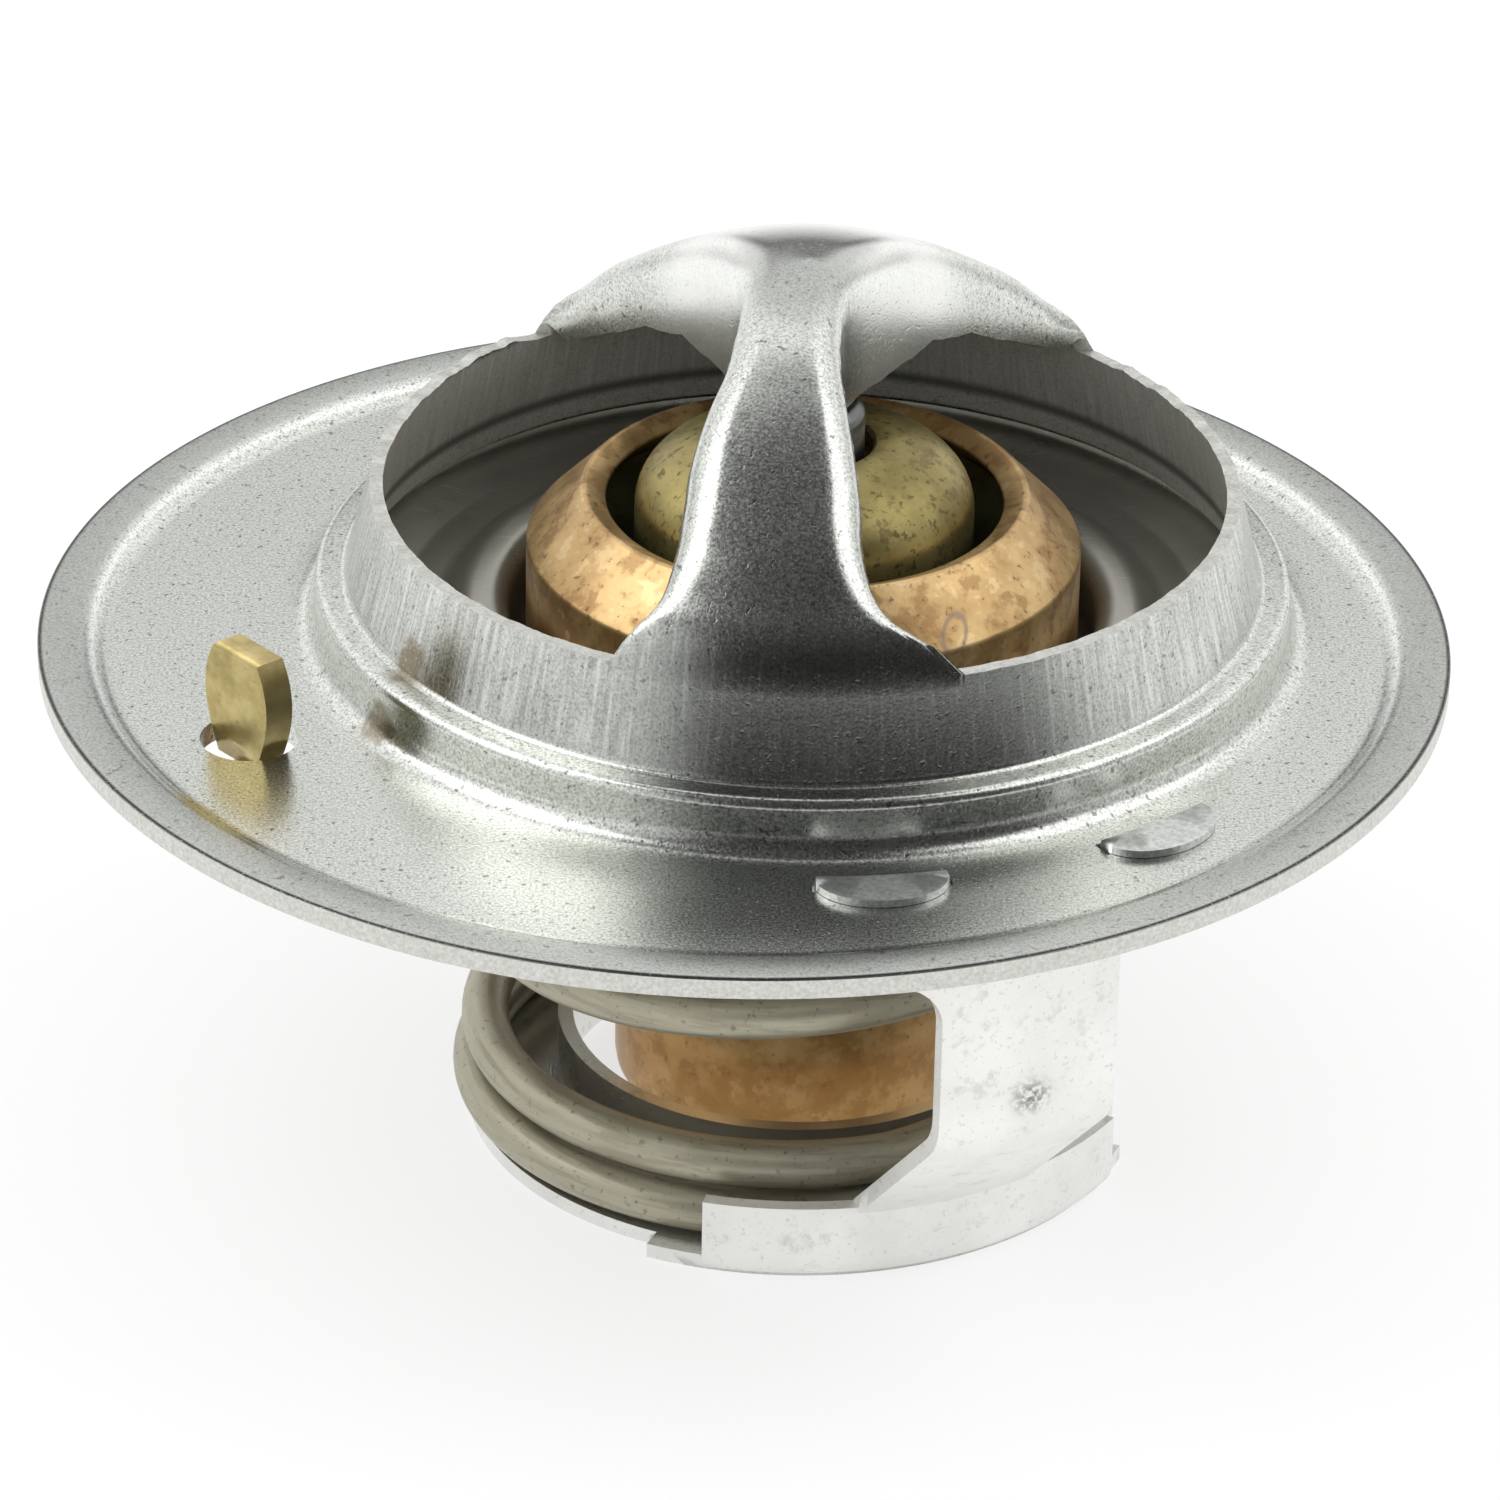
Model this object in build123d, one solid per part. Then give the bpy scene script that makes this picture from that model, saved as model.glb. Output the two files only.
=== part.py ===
"""Engine thermostat with an offset flange.

Millimetres, +Z up. Shapes are drawn with the valve axis on Z and the flange's upper face at
Z = 0, then moved so that the origin lies under the middle of the flange, where the part stands.
Azimuths are measured round the valve axis from -Y (the front) towards +X.
"""
import os
from math import atan2, cos, degrees, radians, sin, tan

from build123d import *

os.makedirs("parts", exist_ok=True)

# Flange and collar, drawn from one sheet with the bridge
flange_diameter = 64.0
flange_thickness = 1.0
flange_centre_x = -2.6
flange_centre_y = -1.9
rim_width = 2.2
rim_rise = 0.55
rim_slope_width = 0.7
rim_bend_radius = 0.5
collar_radius = 22.2
collar_foot_radius = 1.1
collar_overlap = 0.5
ledge_height = 2.6
ledge_overlap = 0.4
ledge_bend_radius = 0.35
shoulder_radius = 0.45

# Wall and bridge. Stations of the dome are (radius, height, slope in degrees); the bridge's
# edges are (x, y) in plan, from the front foot over the neck to the rear foot; the skirt's lower
# edge is (y, height).
drawn_thickness = 0.6
wall_base_radius = 20.85
wall_top_radius = 19.7
window_sill = 7.0
bridge_height = 18.1
dome_stations = [(17.7, 9.9, 47.0), (14.3, 12.6, 35.0), (11.6, 14.25, 30.0), (9.0, 15.65, 26.5),
                 (6.0, 17.0, 20.0), (3.0, 17.8, 10.0)]
crown_play = 0.1
foot_overlap = 0.03
foot_depth = 1.5
foot_reach = 3.0
bridge_left_edge = [(-12.5, -18.6), (-9.9, -18.2), (-8.1, -17.7), (-7.1, -17.1), (-6.3, -16.2),
                    (-5.7, -14.7), (-5.4, -12.9), (-5.1, -10.6), (-4.45, -8.3), (-3.7, -6.3),
                    (-3.3, -4.2), (-3.0, -1.8), (-3.1, 0.6), (-3.9, 2.6), (-4.9, 4.6),
                    (-6.2, 7.0), (-8.6, 10.5), (-10.3, 12.8), (-11.8, 14.4), (-13.6, 15.5),
                    (-16.0, 16.4)]
bridge_right_edge = [(8.5, -18.6), (5.9, -18.2), (4.3, -17.7), (3.5, -17.1), (2.9, -16.2),
                     (2.5, -14.7), (2.4, -12.9), (2.1, -10.6), (1.75, -8.3), (1.45, -6.3),
                     (1.4, -4.2), (1.6, -1.8), (2.3, 0.2), (3.4, 2.1), (4.7, 4.3),
                     (6.2, 7.0), (8.7, 10.3), (10.6, 12.3), (12.3, 13.7), (14.2, 14.7),
                     (16.8, 15.4)]
bridge_bend_radius = 1.6
shortest_long_edge = 20.0
skirt_edge_height = 11.2
skirt_edge = [(-16.9, 6.4), (-15.3, 8.4), (-13.5, 10.4), (-10.5, 12.0), (-5.0, 11.5),
              (0, skirt_edge_height), (6.2, skirt_edge_height), (9.0, 10.3), (11.5, 8.7),
              (13.6, 7.4), (16.4, 6.2)]

# Wax element: copper cup, brass guide, rubber boot, wax
cup_radius = 8.3
cup_wall = 0.9
cup_bottom = -24.0
cup_corner_radius = 1.6
cup_inner_bend = 0.2
head_radius = 12.6
head_underside = -1.9
head_edge_radius = 0.6
head_shoulder_height = 4.1
head_shoulder_radius = 0.3
crimp_height = 6.7
crimp_top_radius = 10.0
crimp_edge_radius = 0.25
crimp_mouth_radius = 8.9
crimp_mouth_drop = 0.5
crimp_mouth_edge = 0.15
guide_nose_radius = 7.7
guide_nose_base = 5.6
guide_top = 9.2
guide_crown_slope = 0.22
guide_groove_depth = 2.2
guide_clamped_width = 1.2
guide_mouth_radius = 3.05
guide_mouth_depth = 1.2
guide_mouth_edge = 0.3
guide_mouth_chamfer = 0.25
guide_mouth_fall = 0.05
boot_sleeve_radius = 4.2
boot_flange_thickness = 0.9
boot_flange_edge = 0.2
boot_root_radius = 0.3
boot_end_thickness = 1.4
boot_end_radius = 1.2
wax_headroom = 0.3
piston_radius = 2.65
piston_bottom = -18.0
piston_end_radius = 0.6
piston_shoulder_radius = 0.5
piston_shoulder_play = 0.25
piston_tip_radius = 0.95
piston_tip_edge = 0.3
running_clearance = 0.05
assembly_gap = 0.02

# Valve disc
disc_thickness = 0.8
disc_rim_radius = 20.85
disc_seat_gap = 0.3
disc_rim_width = 2.6
disc_dish_height = 0.55
disc_hump_radius = 14.3
disc_hump_height = 1.35
disc_hump_width = 1.0
disc_hump_slope = 1.2
disc_bends = [0.6, 0.9, 0.9, 0.8, 0.8]
well_radius = 13.35

# Spring: turns are counted up from the lower end
wire_diameter = 2.2
spring_bottom_radius = 14.3
spring_top_radius = 13.15
spring_lean = 0.7
spring_start_azimuth = 100.0
spring_turns = 4.6
closed_pitch = 1.04
closed_gain = 0.3
lower_climb_start = 0.72
lower_climb_end = 1.02
active_start = 1.78
upper_closed_turns = 1.05
upper_climb_before = 0.1
upper_climb_after = 0.25
points_per_turn = 16

# Lower frame
frame_thickness = 0.7
frame_bottom = -25.1
frame_azimuth = 23.4
frame_collar_radius = 11.0
frame_collar_top = -20.6
frame_collar_bend = 0.5
frame_ring_radius = 15.2
ring_overlap = 1.0
lip_radius = 17.1
lip_top = -21.1
lip_half_angle = 36.8
lip_bend_radius = 1.4
apron_half_angle = 46.8
apron_setback = 0.1
leg_radius = 25.2
leg_left_width = 3.85
leg_right_width = 4.65
leg_foot_bend = 0.8
leg_bend_height = -13.0
leg_bend_radius = 2.2
leg_overlap = 2.0
leg_arc = 60.0
arm_height = -5.0
arm_corner_radius = 0.8
tab_offset_angle = 15.2
tab_length = 5.8
tab_reach = 1.7
tab_bend_radius = 0.15
tab_pressed_thickness = 0.35
slot_clearance = 0.15
slot_half_depth = 5.0

# Jiggle pin: the blade's side is (half width, height) from the stem up
pin_hole_x = -24.4
pin_hole_y = -12.5
pin_hole_radius = 2.2
pin_blade_side = [(1.3, -0.9), (1.7, 0.0), (2.15, 1.7), (2.05, 3.1), (1.5, 4.35)]
pin_blade_thickness = 1.45
pin_blade_angle = -48.0
pin_stem_radius = 0.68
pin_stem_top = 1.2
pin_foot_radius = 2.9
pin_foot_thickness = 1.6
pin_foot_top = -3.4
pin_foot_edge = 0.5

# Size of the blocks that trim a shape away, well past it
trim_size = 60.0


def spun(profile, angle=360.0):
    """Turn a section in the YZ plane round the valve axis, centred on the rear (+Y)."""
    turned = revolve(profile, axis=Axis.Z, revolution_arc=angle)
    return Rot(0, 0, -angle / 2) * turned


def section(corners, bends=0.0):
    """Section in the YZ plane from (radius, height) corners, with a bend radius at each corner."""
    return make_face(Plane.YZ * FilletPolyline(*corners, radius=bends, close=True))


def sheet(path, bends, thickness):
    """Section of a bent sheet: one face follows the path, the other lies to its right.

    A negative thickness puts the other face to the left of the path.
    """
    points = [Vector(*point) for point in path]
    runs = [(end - start).normalized() for start, end in zip(points, points[1:])]
    rights = [Vector(run.Y, -run.X) * thickness for run in runs]
    reach = thickness * thickness
    far = [points[0] + rights[0]]
    far_bends = []
    for point, bend, i in zip(points[1:-1], bends, range(len(bends))):
        both = rights[i] + rights[i + 1]
        far.append(point + both * (reach / (reach + rights[i].dot(rights[i + 1]))))
        left_turn = runs[i].cross(runs[i + 1]).Z > 0
        far_bends.append(max(bend + thickness if left_turn else bend - thickness, 0))
    far.append(points[-1] + rights[-1])
    corners = points + far[::-1]
    radii = [0, *bends, 0, 0, *far_bends[::-1], 0]
    return make_face(Plane.YZ * FilletPolyline(*corners, radius=radii, close=True))


def at_azimuth(shape, azimuth):
    """Move a shape from the rear (+Y) to an azimuth counted from the front."""
    return Rot(0, 0, azimuth + 180) * shape


# Flange, collar, seat ledge, wall and bridge: one drawn stamping

wall_angle = degrees(atan2(window_sill - ledge_height, wall_base_radius - wall_top_radius))
wall_run = 1 / tan(radians(wall_angle))
block_foot = window_sill - foot_depth
flange_radius = flange_diameter / 2


def dome_block(inset):
    """Solid under the domed bridge, its surface moved inward by inset."""
    curve = [(r - inset * sin(radians(a)), z - inset * cos(radians(a)))
             for r, z, a in [(wall_top_radius, window_sill, wall_angle), *dome_stations]]
    start_radius, start_height = curve[0]
    apex = (0, bridge_height - inset)
    foot = (start_radius + (start_height - block_foot) * wall_run, block_foot)
    sides = Polyline(apex, (0, block_foot), foot, curve[0])
    leaving = (-cos(radians(wall_angle)), sin(radians(wall_angle)))
    crown = Spline(*curve, apex, tangents=[leaving, (-1, 0)])
    return spun(make_face(Plane.YZ * (sides + crown)))


def strap_prism(inset):
    """Upright prism with the plan outline of the bridge: narrow neck, flared feet."""
    left = [(x + inset, y) for x, y in bridge_left_edge]
    right = [(x - inset, y) for x, y in bridge_right_edge]
    far = wall_base_radius + foot_reach
    front_end = Polyline(left[0], (left[0][0], -far), (right[0][0], -far), right[0])
    rear_end = Polyline(left[-1], (left[-1][0], far), (right[-1][0], far), right[-1])
    outline = Spline(*left) + Spline(*right) + front_end + rear_end
    return extrude(make_face(outline), amount=trim_size)


def bent_strap(inset):
    """Bridge as a solid block whose long top edges are rounded down into upright skirts."""
    block = dome_block(inset) & strap_prism(inset)
    bend = bridge_bend_radius - inset + foot_overlap
    top_edges = block.edges().filter_by(lambda edge: edge.center().Z > window_sill + foot_overlap)
    return fillet(top_edges.filter_by(lambda edge: edge.length > shortest_long_edge), bend)


def make_bridge():
    shell = bent_strap(foot_overlap) - bent_strap(foot_overlap + drawn_thickness)
    front, rear = skirt_edge[0], skirt_edge[-1]
    under = Spline(*skirt_edge)
    sill = Polyline(front, (front[0], 0), (rear[0], 0), rear)
    cut = extrude(make_face(Plane.YZ * (under + sill)), amount=wall_base_radius, both=True)
    return shell - cut


def make_bridge_flange():
    inner_radius = collar_radius - flange_thickness
    bend_start = flange_radius - rim_width - rim_slope_width
    rim_path = [(0, 0), (bend_start, 0), (flange_radius - rim_width, rim_rise),
                (flange_radius, rim_rise)]
    rim = spun(sheet(rim_path, [rim_bend_radius] * 2, flange_thickness))
    plate = Pos(flange_centre_x, flange_centre_y) * rim
    foot_edge = collar_radius + collar_foot_radius
    plate -= Cylinder(foot_edge, trim_size)
    collar_path = [(foot_edge + collar_overlap, 0), (collar_radius, 0),
                   (collar_radius, ledge_height), (wall_base_radius - ledge_overlap, ledge_height)]
    collar = spun(sheet(collar_path, [collar_foot_radius, shoulder_radius], -flange_thickness))
    wall_path = [(inner_radius, ledge_height), (wall_base_radius, ledge_height),
                 (wall_top_radius - wall_run, window_sill + 1)]
    wall = spun(sheet(wall_path, [ledge_bend_radius], -drawn_thickness))
    wall -= Pos(0, 0, window_sill + trim_size / 2) * Box(trim_size, trim_size, trim_size)
    body = plate + collar + wall + make_bridge()
    for azimuth in (frame_azimuth, frame_azimuth + 180):
        for offset in (-tab_offset_angle, tab_offset_angle):
            body -= at_azimuth(tab_slot(), azimuth + offset)
    body -= Pos(pin_hole_x, pin_hole_y) * Cylinder(pin_hole_radius, 2 * slot_half_depth)
    return body


# Lower frame: ring, collar, lips, legs, arms and tabs, pressed from one sheet

leg_inner_radius = leg_radius - frame_thickness
tab_half_angle = degrees(tab_length / 2 / leg_radius)


def tab_slot():
    inner = leg_inner_radius - slot_clearance
    outer = leg_radius + slot_clearance
    half = tab_half_angle + degrees(slot_clearance / leg_radius)
    cut = section([(inner, -slot_half_depth), (outer, -slot_half_depth),
                   (outer, slot_half_depth), (inner, slot_half_depth)])
    return spun(cut, 2 * half)


def make_tab():
    """Upright tongue through the flange, its end bent outward, pressed thin and round in plan."""
    path = [(leg_radius, -2 * flange_thickness), (leg_radius, assembly_gap),
            (leg_radius + tab_reach + frame_thickness, assembly_gap)]
    tongue = spun(sheet(path, [tab_bend_radius], -frame_thickness), 2 * tab_half_angle)
    end = Pos(0, leg_inner_radius + frame_thickness / 2, assembly_gap)
    offcut = end * (Pos(0, 0, tab_reach) * Box(2 * tab_length, 2 * tab_length, 2 * tab_reach))
    rounding = Ellipse(tab_length / 2, tab_reach + frame_thickness / 2)
    offcut -= end * extrude(rounding, amount=tab_pressed_thickness)
    return tongue - offcut


def make_leg():
    """Leg that rises from the lip, leans out past the spring and ends in two arms."""
    inner_lip = lip_radius - frame_thickness
    foot = lip_top - leg_overlap
    top = -flange_thickness - assembly_gap
    path = [(inner_lip, foot), (inner_lip, lip_top), (leg_inner_radius, leg_bend_height),
            (leg_inner_radius, top)]
    ribbon = spun(sheet(path, [leg_foot_bend, leg_bend_radius], frame_thickness), leg_arc)
    span = leg_radius * sin(radians(tab_offset_angle + tab_half_angle))
    left, right = -leg_right_width, leg_left_width
    outline = [(left, foot - 1), (right, foot - 1), (right, arm_height), (span, arm_height),
               (span, top + 1), (-span, top + 1), (-span, arm_height), (left, arm_height)]
    corners = [0, 0, leg_bend_radius, arm_corner_radius]
    face = make_face(Plane.XZ * FilletPolyline(*outline, radius=corners + corners[::-1], close=True))
    blank = Pos(0, leg_radius, 0) * extrude(face, amount=leg_radius, both=True)
    leg = ribbon & blank
    for offset in (-tab_offset_angle, tab_offset_angle):
        leg += Rot(0, 0, offset) * make_tab()
    return leg


def make_lower_frame():
    floor = frame_bottom + frame_thickness
    collar_path = [(frame_ring_radius, floor), (frame_collar_radius, floor),
                   (frame_collar_radius, frame_collar_top)]
    frame = spun(sheet(collar_path, [frame_collar_bend], -frame_thickness))
    inner_lip = lip_radius - frame_thickness
    inner_edge = frame_ring_radius - ring_overlap
    lip_path = [(inner_edge, floor), (inner_lip, floor), (inner_lip, lip_top)]
    lip_section = sheet(lip_path, [lip_bend_radius - frame_thickness], frame_thickness)
    lip = spun(lip_section, 2 * lip_half_angle)
    apron_edge = inner_lip - apron_setback
    apron = spun(section([(inner_edge, frame_bottom), (apron_edge, frame_bottom),
                          (apron_edge, floor), (inner_edge, floor)]), 2 * apron_half_angle)
    for azimuth in (frame_azimuth, frame_azimuth + 180):
        frame += at_azimuth(apron, azimuth)
        frame += at_azimuth(lip, azimuth)
        frame += at_azimuth(make_leg(), azimuth)
    return frame


# Valve: disc, copper cup, guide, boot and wax

step_floor = head_underside + cup_wall
cavity_radius = cup_radius - cup_wall
head_bore = head_radius - cup_wall


def make_valve_disc():
    seat = ledge_height - flange_thickness - disc_seat_gap
    floor = head_underside - assembly_gap
    hump_edge = disc_hump_radius + disc_hump_width
    path = [(cup_radius + running_clearance, floor), (well_radius, floor),
            (well_radius, disc_hump_height), (hump_edge, disc_hump_height),
            (hump_edge + disc_hump_slope, disc_dish_height),
            (disc_rim_radius - disc_rim_width, disc_dish_height), (disc_rim_radius, seat)]
    return spun(sheet(path, disc_bends, disc_thickness))


crimp_mouth_height = crimp_height - crimp_mouth_drop
crimp_line = crimp_mouth_radius + crimp_mouth_height
cup_inner_corner = cup_corner_radius - cup_wall


def make_element_cup():
    corners = [(0, cup_bottom), (cup_radius, cup_bottom), (cup_radius, head_underside),
               (head_radius, head_underside), (head_radius, head_shoulder_height),
               (crimp_top_radius, crimp_height), (crimp_mouth_radius, crimp_mouth_height),
               (head_bore, crimp_line - head_bore), (head_bore, step_floor),
               (cavity_radius, step_floor), (cavity_radius, cup_bottom + cup_wall),
               (0, cup_bottom + cup_wall)]
    bends = [0, cup_corner_radius, 0, head_edge_radius, head_shoulder_radius, crimp_edge_radius,
             crimp_mouth_edge, 0, cup_inner_bend, cup_inner_bend, cup_inner_corner, 0]
    return spun(section(corners, bends))


piston_bore = piston_radius + running_clearance
clamped_radius = head_bore - assembly_gap


def make_guide():
    """Turned brass guide: clamped flange, deep groove, domed nose, bore for the piston."""
    bottom = step_floor + boot_flange_thickness + assembly_gap
    under_crimp = crimp_line - 2 * assembly_gap
    neck = crimp_mouth_radius + guide_clamped_width
    mouth_floor = guide_top - guide_mouth_depth
    lines = Polyline((piston_bore, mouth_floor), (piston_bore, bottom), (clamped_radius, bottom),
                     (clamped_radius, under_crimp - clamped_radius), (neck, under_crimp - neck),
                     (guide_nose_radius, under_crimp - neck - guide_groove_depth),
                     (guide_nose_radius, guide_nose_base))
    mouth = (guide_mouth_radius + guide_mouth_edge, guide_top - guide_mouth_fall)
    nose = Spline(lines @ 1, mouth, tangents=[(0, 1), (-1, guide_crown_slope)])
    lip = Polyline(mouth, (guide_mouth_radius, guide_top - guide_mouth_chamfer),
                   (guide_mouth_radius, mouth_floor), (piston_bore, mouth_floor))
    return spun(make_face(Plane.YZ * (lines + nose + lip)))


def make_boot():
    """Rubber boot: clamped collar and a closed sleeve round the piston."""
    top = step_floor + boot_flange_thickness
    underside = step_floor + assembly_gap
    tip = piston_bottom - running_clearance
    end = tip - boot_end_thickness
    corners = [(0, tip), (piston_bore, tip), (piston_bore, top), (clamped_radius, top),
               (clamped_radius, underside), (boot_sleeve_radius, underside),
               (boot_sleeve_radius, end), (0, end)]
    bends = [0, 0, 0, boot_flange_edge, boot_root_radius, crimp_edge_radius, boot_end_radius, 0]
    return spun(section(corners, bends))


def make_wax():
    bottom = cup_bottom + cup_wall + assembly_gap
    edge = cavity_radius - assembly_gap
    core = boot_sleeve_radius + 2 * assembly_gap
    tip = piston_bottom - running_clearance - boot_end_thickness - assembly_gap
    top = step_floor - wax_headroom
    corners = [(0, bottom), (edge, bottom), (edge, top), (core, top), (core, tip), (0, tip)]
    return spun(section(corners, [0, cup_inner_corner, 0, 0, 0, 0]))


def make_piston():
    """Steel pin: its body guides the element, its tip stands under the bridge."""
    shoulder = skirt_edge_height - piston_shoulder_play
    tip_top = bridge_height - drawn_thickness - crown_play
    corners = [(0, piston_bottom), (piston_radius, piston_bottom), (piston_radius, shoulder),
               (piston_tip_radius, shoulder), (piston_tip_radius, tip_top), (0, tip_top)]
    bends = [0, piston_end_radius, piston_shoulder_radius, 0, piston_tip_edge, 0]
    return spun(section(corners, bends))


# Spring

def eased(value, start, end):
    """Smooth step from 0 to 1 between start and end."""
    share = min(max((value - start) / (end - start), 0), 1)
    return share * share * (3 - 2 * share)


def make_spring():
    """Tapered spring with a closed turn at each end; its axis leans to the left lower down."""
    seat_low = frame_bottom + frame_thickness
    seat_high = head_underside - assembly_gap - disc_thickness
    low = seat_low + assembly_gap + wire_diameter / 2
    rise = seat_high - seat_low - 2 * assembly_gap - wire_diameter
    closed = wire_diameter * closed_pitch
    active_end = spring_turns - upper_closed_turns
    upper_climb = (active_end - upper_climb_before, active_end + upper_climb_after)
    active = rise - 2 * closed - closed_gain
    points = []
    count = int(spring_turns * points_per_turn)
    for i in range(count + 1):
        share = i / count
        turn = spring_turns * share
        climb = min(max((turn - active_start) / (active_end - active_start), 0), 1)
        height = closed * (eased(turn, lower_climb_start, lower_climb_end) + eased(turn, *upper_climb))
        height += closed_gain * min(turn / active_start, 1) + active * climb
        radius = spring_bottom_radius + (spring_top_radius - spring_bottom_radius) * share
        angle = radians(spring_start_azimuth + 360 * turn)
        lean = spring_lean * (1 - share)
        points.append((radius * sin(angle) - lean, -radius * cos(angle), low + height))
    path = Spline(*points)
    profile = Plane(origin=path @ 0, z_dir=path % 0) * Circle(wire_diameter / 2)
    return sweep(profile, path=path)


# Jiggle pin

def make_jiggle_pin():
    """Flattened blade with a flat top above the flange, stem through the hole, foot below."""
    right = Spline(*pin_blade_side)
    left = Spline(*[(-x, z) for x, z in pin_blade_side])
    ends = [Line(right @ 0, left @ 0), Line(right @ 1, left @ 1)]
    blade = extrude(make_face(Plane.XZ * (right + left + ends)),
                    amount=pin_blade_thickness / 2, both=True)
    stem_length = pin_stem_top - pin_foot_top
    stem = Pos(0, 0, pin_foot_top + stem_length / 2) * Cylinder(pin_stem_radius, stem_length)
    foot_middle = pin_foot_top - pin_foot_thickness / 2
    foot = Pos(0, 0, foot_middle) * Cylinder(pin_foot_radius, pin_foot_thickness)
    foot = fillet(foot.edges().filter_by(GeomType.CIRCLE), pin_foot_edge)
    pin = Rot(0, 0, pin_blade_angle) * blade + stem + foot
    return Pos(pin_hole_x, pin_hole_y, 0) * pin


to_base = Pos(-flange_centre_x, -flange_centre_y, -frame_bottom)
nodes = {
    "bridge_flange": make_bridge_flange,
    "lower_frame": make_lower_frame,
    "valve_disc": make_valve_disc,
    "element_cup": make_element_cup,
    "guide": make_guide,
    "boot": make_boot,
    "wax": make_wax,
    "piston": make_piston,
    "spring": make_spring,
    "jiggle_pin": make_jiggle_pin,
}

for name, make in nodes.items():
    export_step(to_base * make(), f"parts/{name}.step")
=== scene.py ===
"""Looks of an engine thermostat with an offset flange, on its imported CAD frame. Metres, +Z up."""
from math import atan2, cos, hypot, pi, radians, sin, sqrt

import bmesh
import bpy
import numpy as np
from mathutils import Matrix, Vector


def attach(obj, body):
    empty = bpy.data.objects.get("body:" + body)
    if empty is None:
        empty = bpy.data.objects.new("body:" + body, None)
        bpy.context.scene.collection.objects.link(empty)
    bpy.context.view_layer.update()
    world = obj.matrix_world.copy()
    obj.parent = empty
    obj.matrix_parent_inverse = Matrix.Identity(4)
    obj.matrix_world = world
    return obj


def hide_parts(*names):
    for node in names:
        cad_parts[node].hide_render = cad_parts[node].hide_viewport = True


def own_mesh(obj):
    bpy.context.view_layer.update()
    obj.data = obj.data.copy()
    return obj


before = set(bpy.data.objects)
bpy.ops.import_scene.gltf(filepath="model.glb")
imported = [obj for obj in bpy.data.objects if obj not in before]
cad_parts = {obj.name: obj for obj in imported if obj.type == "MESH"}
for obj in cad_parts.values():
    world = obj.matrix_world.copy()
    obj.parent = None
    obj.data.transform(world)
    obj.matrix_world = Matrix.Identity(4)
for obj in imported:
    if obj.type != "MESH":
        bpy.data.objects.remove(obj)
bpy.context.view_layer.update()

# Flange, collar, wall and bridge: one deep-drawn steel stamping, 1 mm thick in the flange and
# 0.6 mm where the wall and bridge are stretched. The windows are sheared out of the drawn dome,
# which leaves bright torn edges; the surface is tumbled, and stained brown in two places.

# Shapes are in millimetres about the valve axis, with heights from the flange's upper face.
MM = 0.001
axis_x, axis_y, flange_z = 2.6, 1.9, 25.1
ledge_height, sill_radius, sill_height = 2.6, 19.7, 7.0
drawn_sheet, sheet_slant, edge_bend, skirt_steps = 0.6, 1.03, 1.6, 6
dome = [(sill_radius, sill_height), (18.98, 8.6), (17.7, 9.9), (16.2, 11.3), (14.3, 12.6),
        (11.6, 14.25), (9.0, 15.65), (6.0, 17.0), (3.0, 17.8), (0.0, 18.1)]
left_edge = [(-12.5, -18.6), (-9.9, -18.2), (-8.1, -17.7), (-7.1, -17.1), (-6.3, -16.2),
             (-5.7, -14.7), (-5.4, -12.9), (-5.1, -10.6), (-4.45, -8.3), (-3.7, -6.3),
             (-3.3, -4.2), (-3.0, -1.8), (-3.1, 0.6), (-3.9, 2.6), (-4.9, 4.6), (-6.2, 7.0),
             (-8.6, 10.5), (-10.3, 12.8), (-11.8, 14.4), (-13.6, 15.5), (-16.0, 16.4)]
right_edge = [(8.5, -18.6), (5.9, -18.2), (4.3, -17.7), (3.5, -17.1), (2.9, -16.2),
              (2.5, -14.7), (2.4, -12.9), (2.1, -10.6), (1.75, -8.3), (1.45, -6.3), (1.4, -4.2),
              (1.6, -1.8), (2.3, 0.2), (3.4, 2.1), (4.7, 4.3), (6.2, 7.0), (8.7, 10.3),
              (10.6, 12.3), (12.3, 13.7), (14.2, 14.7), (16.8, 15.4)]
skirt_low = [(-16.9, 6.4), (-15.3, 8.4), (-13.5, 10.4), (-10.5, 12.0), (-5.0, 11.5),
             (0.0, 11.2), (6.2, 11.2), (9.0, 10.3), (11.5, 8.7), (13.6, 7.4), (16.4, 6.2)]


def smooth(points, count):
    """Points evenly spaced on a smooth curve through the given ones (centripetal Catmull-Rom)."""
    p = [np.array(q, float) for q in points]
    p = [2 * p[0] - p[1], *p, 2 * p[-1] - p[-2]]
    run = []
    for a, b, c, d in zip(p, p[1:], p[2:], p[3:]):
        t1 = hypot(*(b - a)) ** 0.5
        t2 = t1 + hypot(*(c - b)) ** 0.5
        t3 = t2 + hypot(*(d - c)) ** 0.5
        for t in np.linspace(t1, t2, 12, endpoint=False):
            ab = (t1 - t) / t1 * a + t / t1 * b
            bc = (t2 - t) / (t2 - t1) * b + (t - t1) / (t2 - t1) * c
            cd = (t3 - t) / (t3 - t2) * c + (t - t2) / (t3 - t2) * d
            one = (t2 - t) / t2 * ab + t / t2 * bc
            two = (t3 - t) / (t3 - t1) * bc + (t - t1) / (t3 - t1) * cd
            run.append((t2 - t) / (t2 - t1) * one + (t - t1) / (t2 - t1) * two)
    run = np.array(run + [p[-2]])
    length = np.concatenate([[0], np.cumsum(np.hypot(*np.diff(run, axis=0).T))])
    even = np.linspace(0, length[-1], count)
    return np.stack([np.interp(even, length, run[:, 0]), np.interp(even, length, run[:, 1])], 1)


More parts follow.
